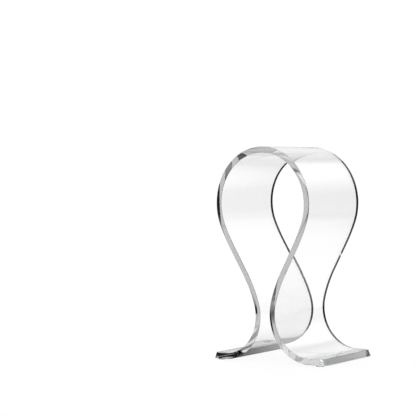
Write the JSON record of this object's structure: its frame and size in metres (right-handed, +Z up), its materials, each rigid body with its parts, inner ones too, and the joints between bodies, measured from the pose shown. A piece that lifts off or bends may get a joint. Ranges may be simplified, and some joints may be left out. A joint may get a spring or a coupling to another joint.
{
  "type": "headphone stand",
  "caption": "Free-standing headphone stand: one strip of thick clear acrylic bent into an omega, with flat feet on clear stick-on pads.",
  "frame": {"origin": "on the surface the stand rests on, under the middle of the arch", "axes": "+Z up, the longest extent; +X across from foot to foot; -Y to the front"},
  "size_m": [0.1582, 0.1, 0.245],
  "materials": {
    "clear_acrylic": "clear cast acrylic, polished cut edges",
    "clear_bumper": "clear soft polyurethane, slightly milky",
    "clear_adhesive": "clear acrylic adhesive film, matt"
  },
  "bodies": {
    "root": {"omega_sheet": "clear_acrylic", "bumper_front_right": "clear_bumper", "adhesive_front_right": "clear_adhesive", "bumper_front_left": "clear_bumper", "adhesive_front_left": "clear_adhesive", "bumper_rear_right": "clear_bumper", "adhesive_rear_right": "clear_adhesive", "bumper_rear_left": "clear_bumper", "adhesive_rear_left": "clear_adhesive"}
  },
  "joints": []
}
